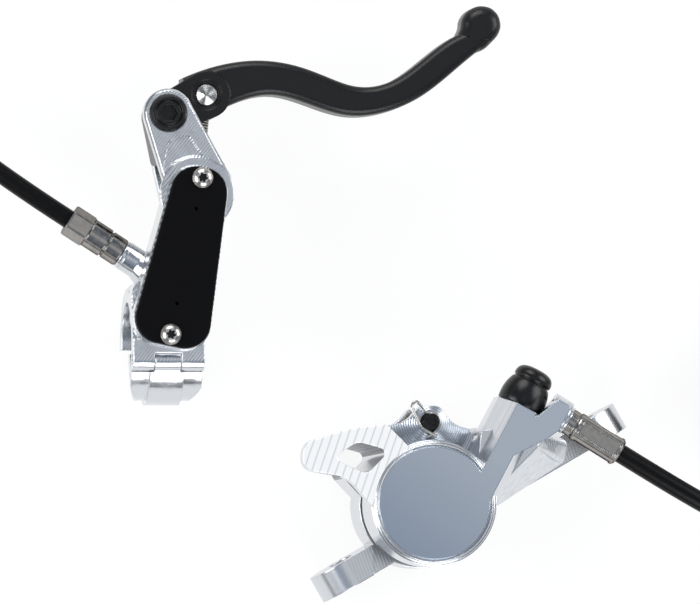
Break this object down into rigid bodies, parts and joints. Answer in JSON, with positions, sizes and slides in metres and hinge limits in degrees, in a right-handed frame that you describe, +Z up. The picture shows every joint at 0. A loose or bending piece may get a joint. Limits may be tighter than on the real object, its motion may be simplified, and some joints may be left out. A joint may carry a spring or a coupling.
{
  "type": "bicycle hydraulic disc brake",
  "caption": "Bicycle hydraulic disc brake: a bar-clamped lever with master cylinder and reservoir, joined by a hose to a post-mount caliper that squeezes pads on a rotor.",
  "frame": {"origin": "the handlebar's axis at the middle of the lever clamp", "axes": "+X along the handlebar towards the lever's tip, +Y from the bar towards the lever blade, +Z up, out of the reservoir cap, with the brake lying on a table"},
  "size_m": [0.28, 0.187, 0.0432],
  "materials": {
    "polished_aluminium": "bright machined and clear anodised",
    "black_alloy": "satin black anodised",
    "cap_black": "flat matt black",
    "bright_steel": "turned, bright",
    "stainless": "turned stainless, warm gray",
    "black_steel": "gloss black oxide",
    "bronze": "plain",
    "seal_rubber": "semi-gloss",
    "diaphragm_rubber": "matt",
    "hose_jacket": "matt",
    "strap": "semi-gloss",
    "friction": "sintered, rough"
  },
  "bodies": {
    "frame": {"master_body": "polished_aluminium", "reservoir_cap": "cap_black", "reservoir_diaphragm": "diaphragm_rubber", "cap_screws": "bright_steel", "pivot_bolt": "black_steel", "piston_spring": "bright_steel", "piston_circlip": "bright_steel", "clamp_half": "polished_aluminium", "clamp_hinge_pin": "bright_steel", "clamp_bolt": "bright_steel", "lever_connector": "stainless", "lever_seal_washer": "polished_aluminium", "lever_olive": "bronze", "hose_lever_run": "hose_jacket", "hose_coil": "hose_jacket", "hose_caliper_run": "hose_jacket", "hose_tie": "strap", "caliper_body": "polished_aluminium", "bore_cap": "polished_aluminium", "bore_cap_seal": "seal_rubber", "outer_piston_seal": "seal_rubber", "inner_piston_seal": "seal_rubber", "pad_spring": "bright_steel", "pad_pin": "black_steel", "pad_pin_clip": "bright_steel", "bleed_nipple": "bright_steel", "bleed_cap": "seal_rubber", "caliper_connector": "stainless", "caliper_seal_washer": "polished_aluminium", "caliper_olive": "bronze"},
    "lever": {"lever_blade": "black_alloy", "pivot_bushes": "bronze"},
    "rod": {"pushrod_barrel": "bright_steel", "pushrod": "bright_steel"},
    "plunger": {"master_piston": "polished_aluminium", "primary_seal": "seal_rubber", "secondary_seal": "seal_rubber"},
    "outer_pad": {"outer_piston": "stainless", "outer_pad_plate": "bright_steel", "outer_pad_lining": "friction"},
    "inner_pad": {"inner_piston": "stainless", "inner_pad_plate": "bright_steel", "inner_pad_lining": "friction"}
  },
  "joints": [
    {"name": "lever_pull", "type": "hinge", "parent": "frame", "child": "lever", "pos_m": [0.00061, 0.05968, 0.0045], "axis": [0, 0, -1], "range_deg": [0, 20], "stiffness_Nm_per_rad": 0.4, "springref_deg": -8.59},
    {"name": "rod_swing", "type": "hinge", "parent": "lever", "child": "rod", "pos_m": [0.01114, 0.06478, 0.0045], "axis": [0, 0, -1], "range_deg": [-15, 0]},
    {"name": "master_stroke", "type": "slide", "parent": "frame", "child": "plunger", "axis": [-0.1994, -0.9799, 0], "range_m": [0, 0.0038], "deforming": ["piston_spring"]},
    {"name": "outer_squeeze", "type": "slide", "parent": "frame", "child": "outer_pad", "axis": [0, 0, -1], "range_m": [0, 0.0004]},
    {"name": "inner_squeeze", "type": "slide", "parent": "frame", "child": "inner_pad", "axis": [0, 0, 1], "range_m": [0, 0.0004]}
  ],
  "couplings": [
    {"joint": "rod_swing", "follows": "lever_pull", "ratio": -0.726},
    {"joint": "master_stroke", "follows": "lever_pull", "m_per_rad": 0.01063},
    {"joint": "outer_squeeze", "follows": "lever_pull", "m_per_rad": 0.001098},
    {"joint": "inner_squeeze", "follows": "lever_pull", "m_per_rad": 0.001098}
  ]
}
